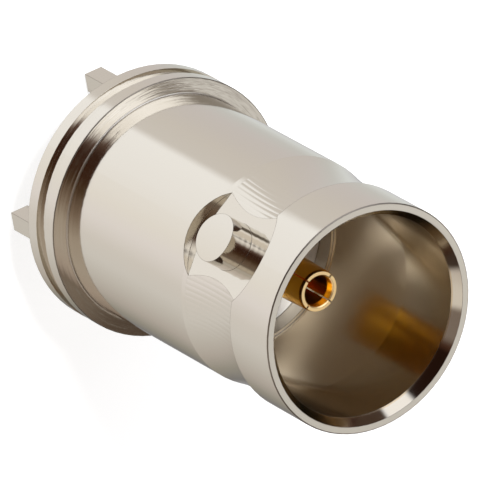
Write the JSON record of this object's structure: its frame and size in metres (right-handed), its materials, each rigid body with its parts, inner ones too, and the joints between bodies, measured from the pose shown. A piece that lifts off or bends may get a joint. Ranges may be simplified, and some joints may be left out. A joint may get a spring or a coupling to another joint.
{
  "type": "bnc jack",
  "caption": "Straight bayonet coaxial jack for a circuit board: round metal shell with side lugs, double-ring flange, square solder legs and a slotted gilt contact.",
  "frame": {"origin": "on the connector's axis, in the plane of the flange's back face, which seats on the circuit board", "axes": "+Z along the axis, out of the mouth; the two bayonet lugs stand on the X axis; the legs stand on the diagonals"},
  "size_m": [0.011, 0.011, 0.0187],
  "materials": {
    "shell": "polished nickel plating on turned and milled brass",
    "insulator": "matte white fluoroplastic",
    "contact": "bright gold plating"
  },
  "bodies": {
    "root": {"shell": "shell", "insulator": "insulator", "contact": "contact"}
  },
  "joints": []
}
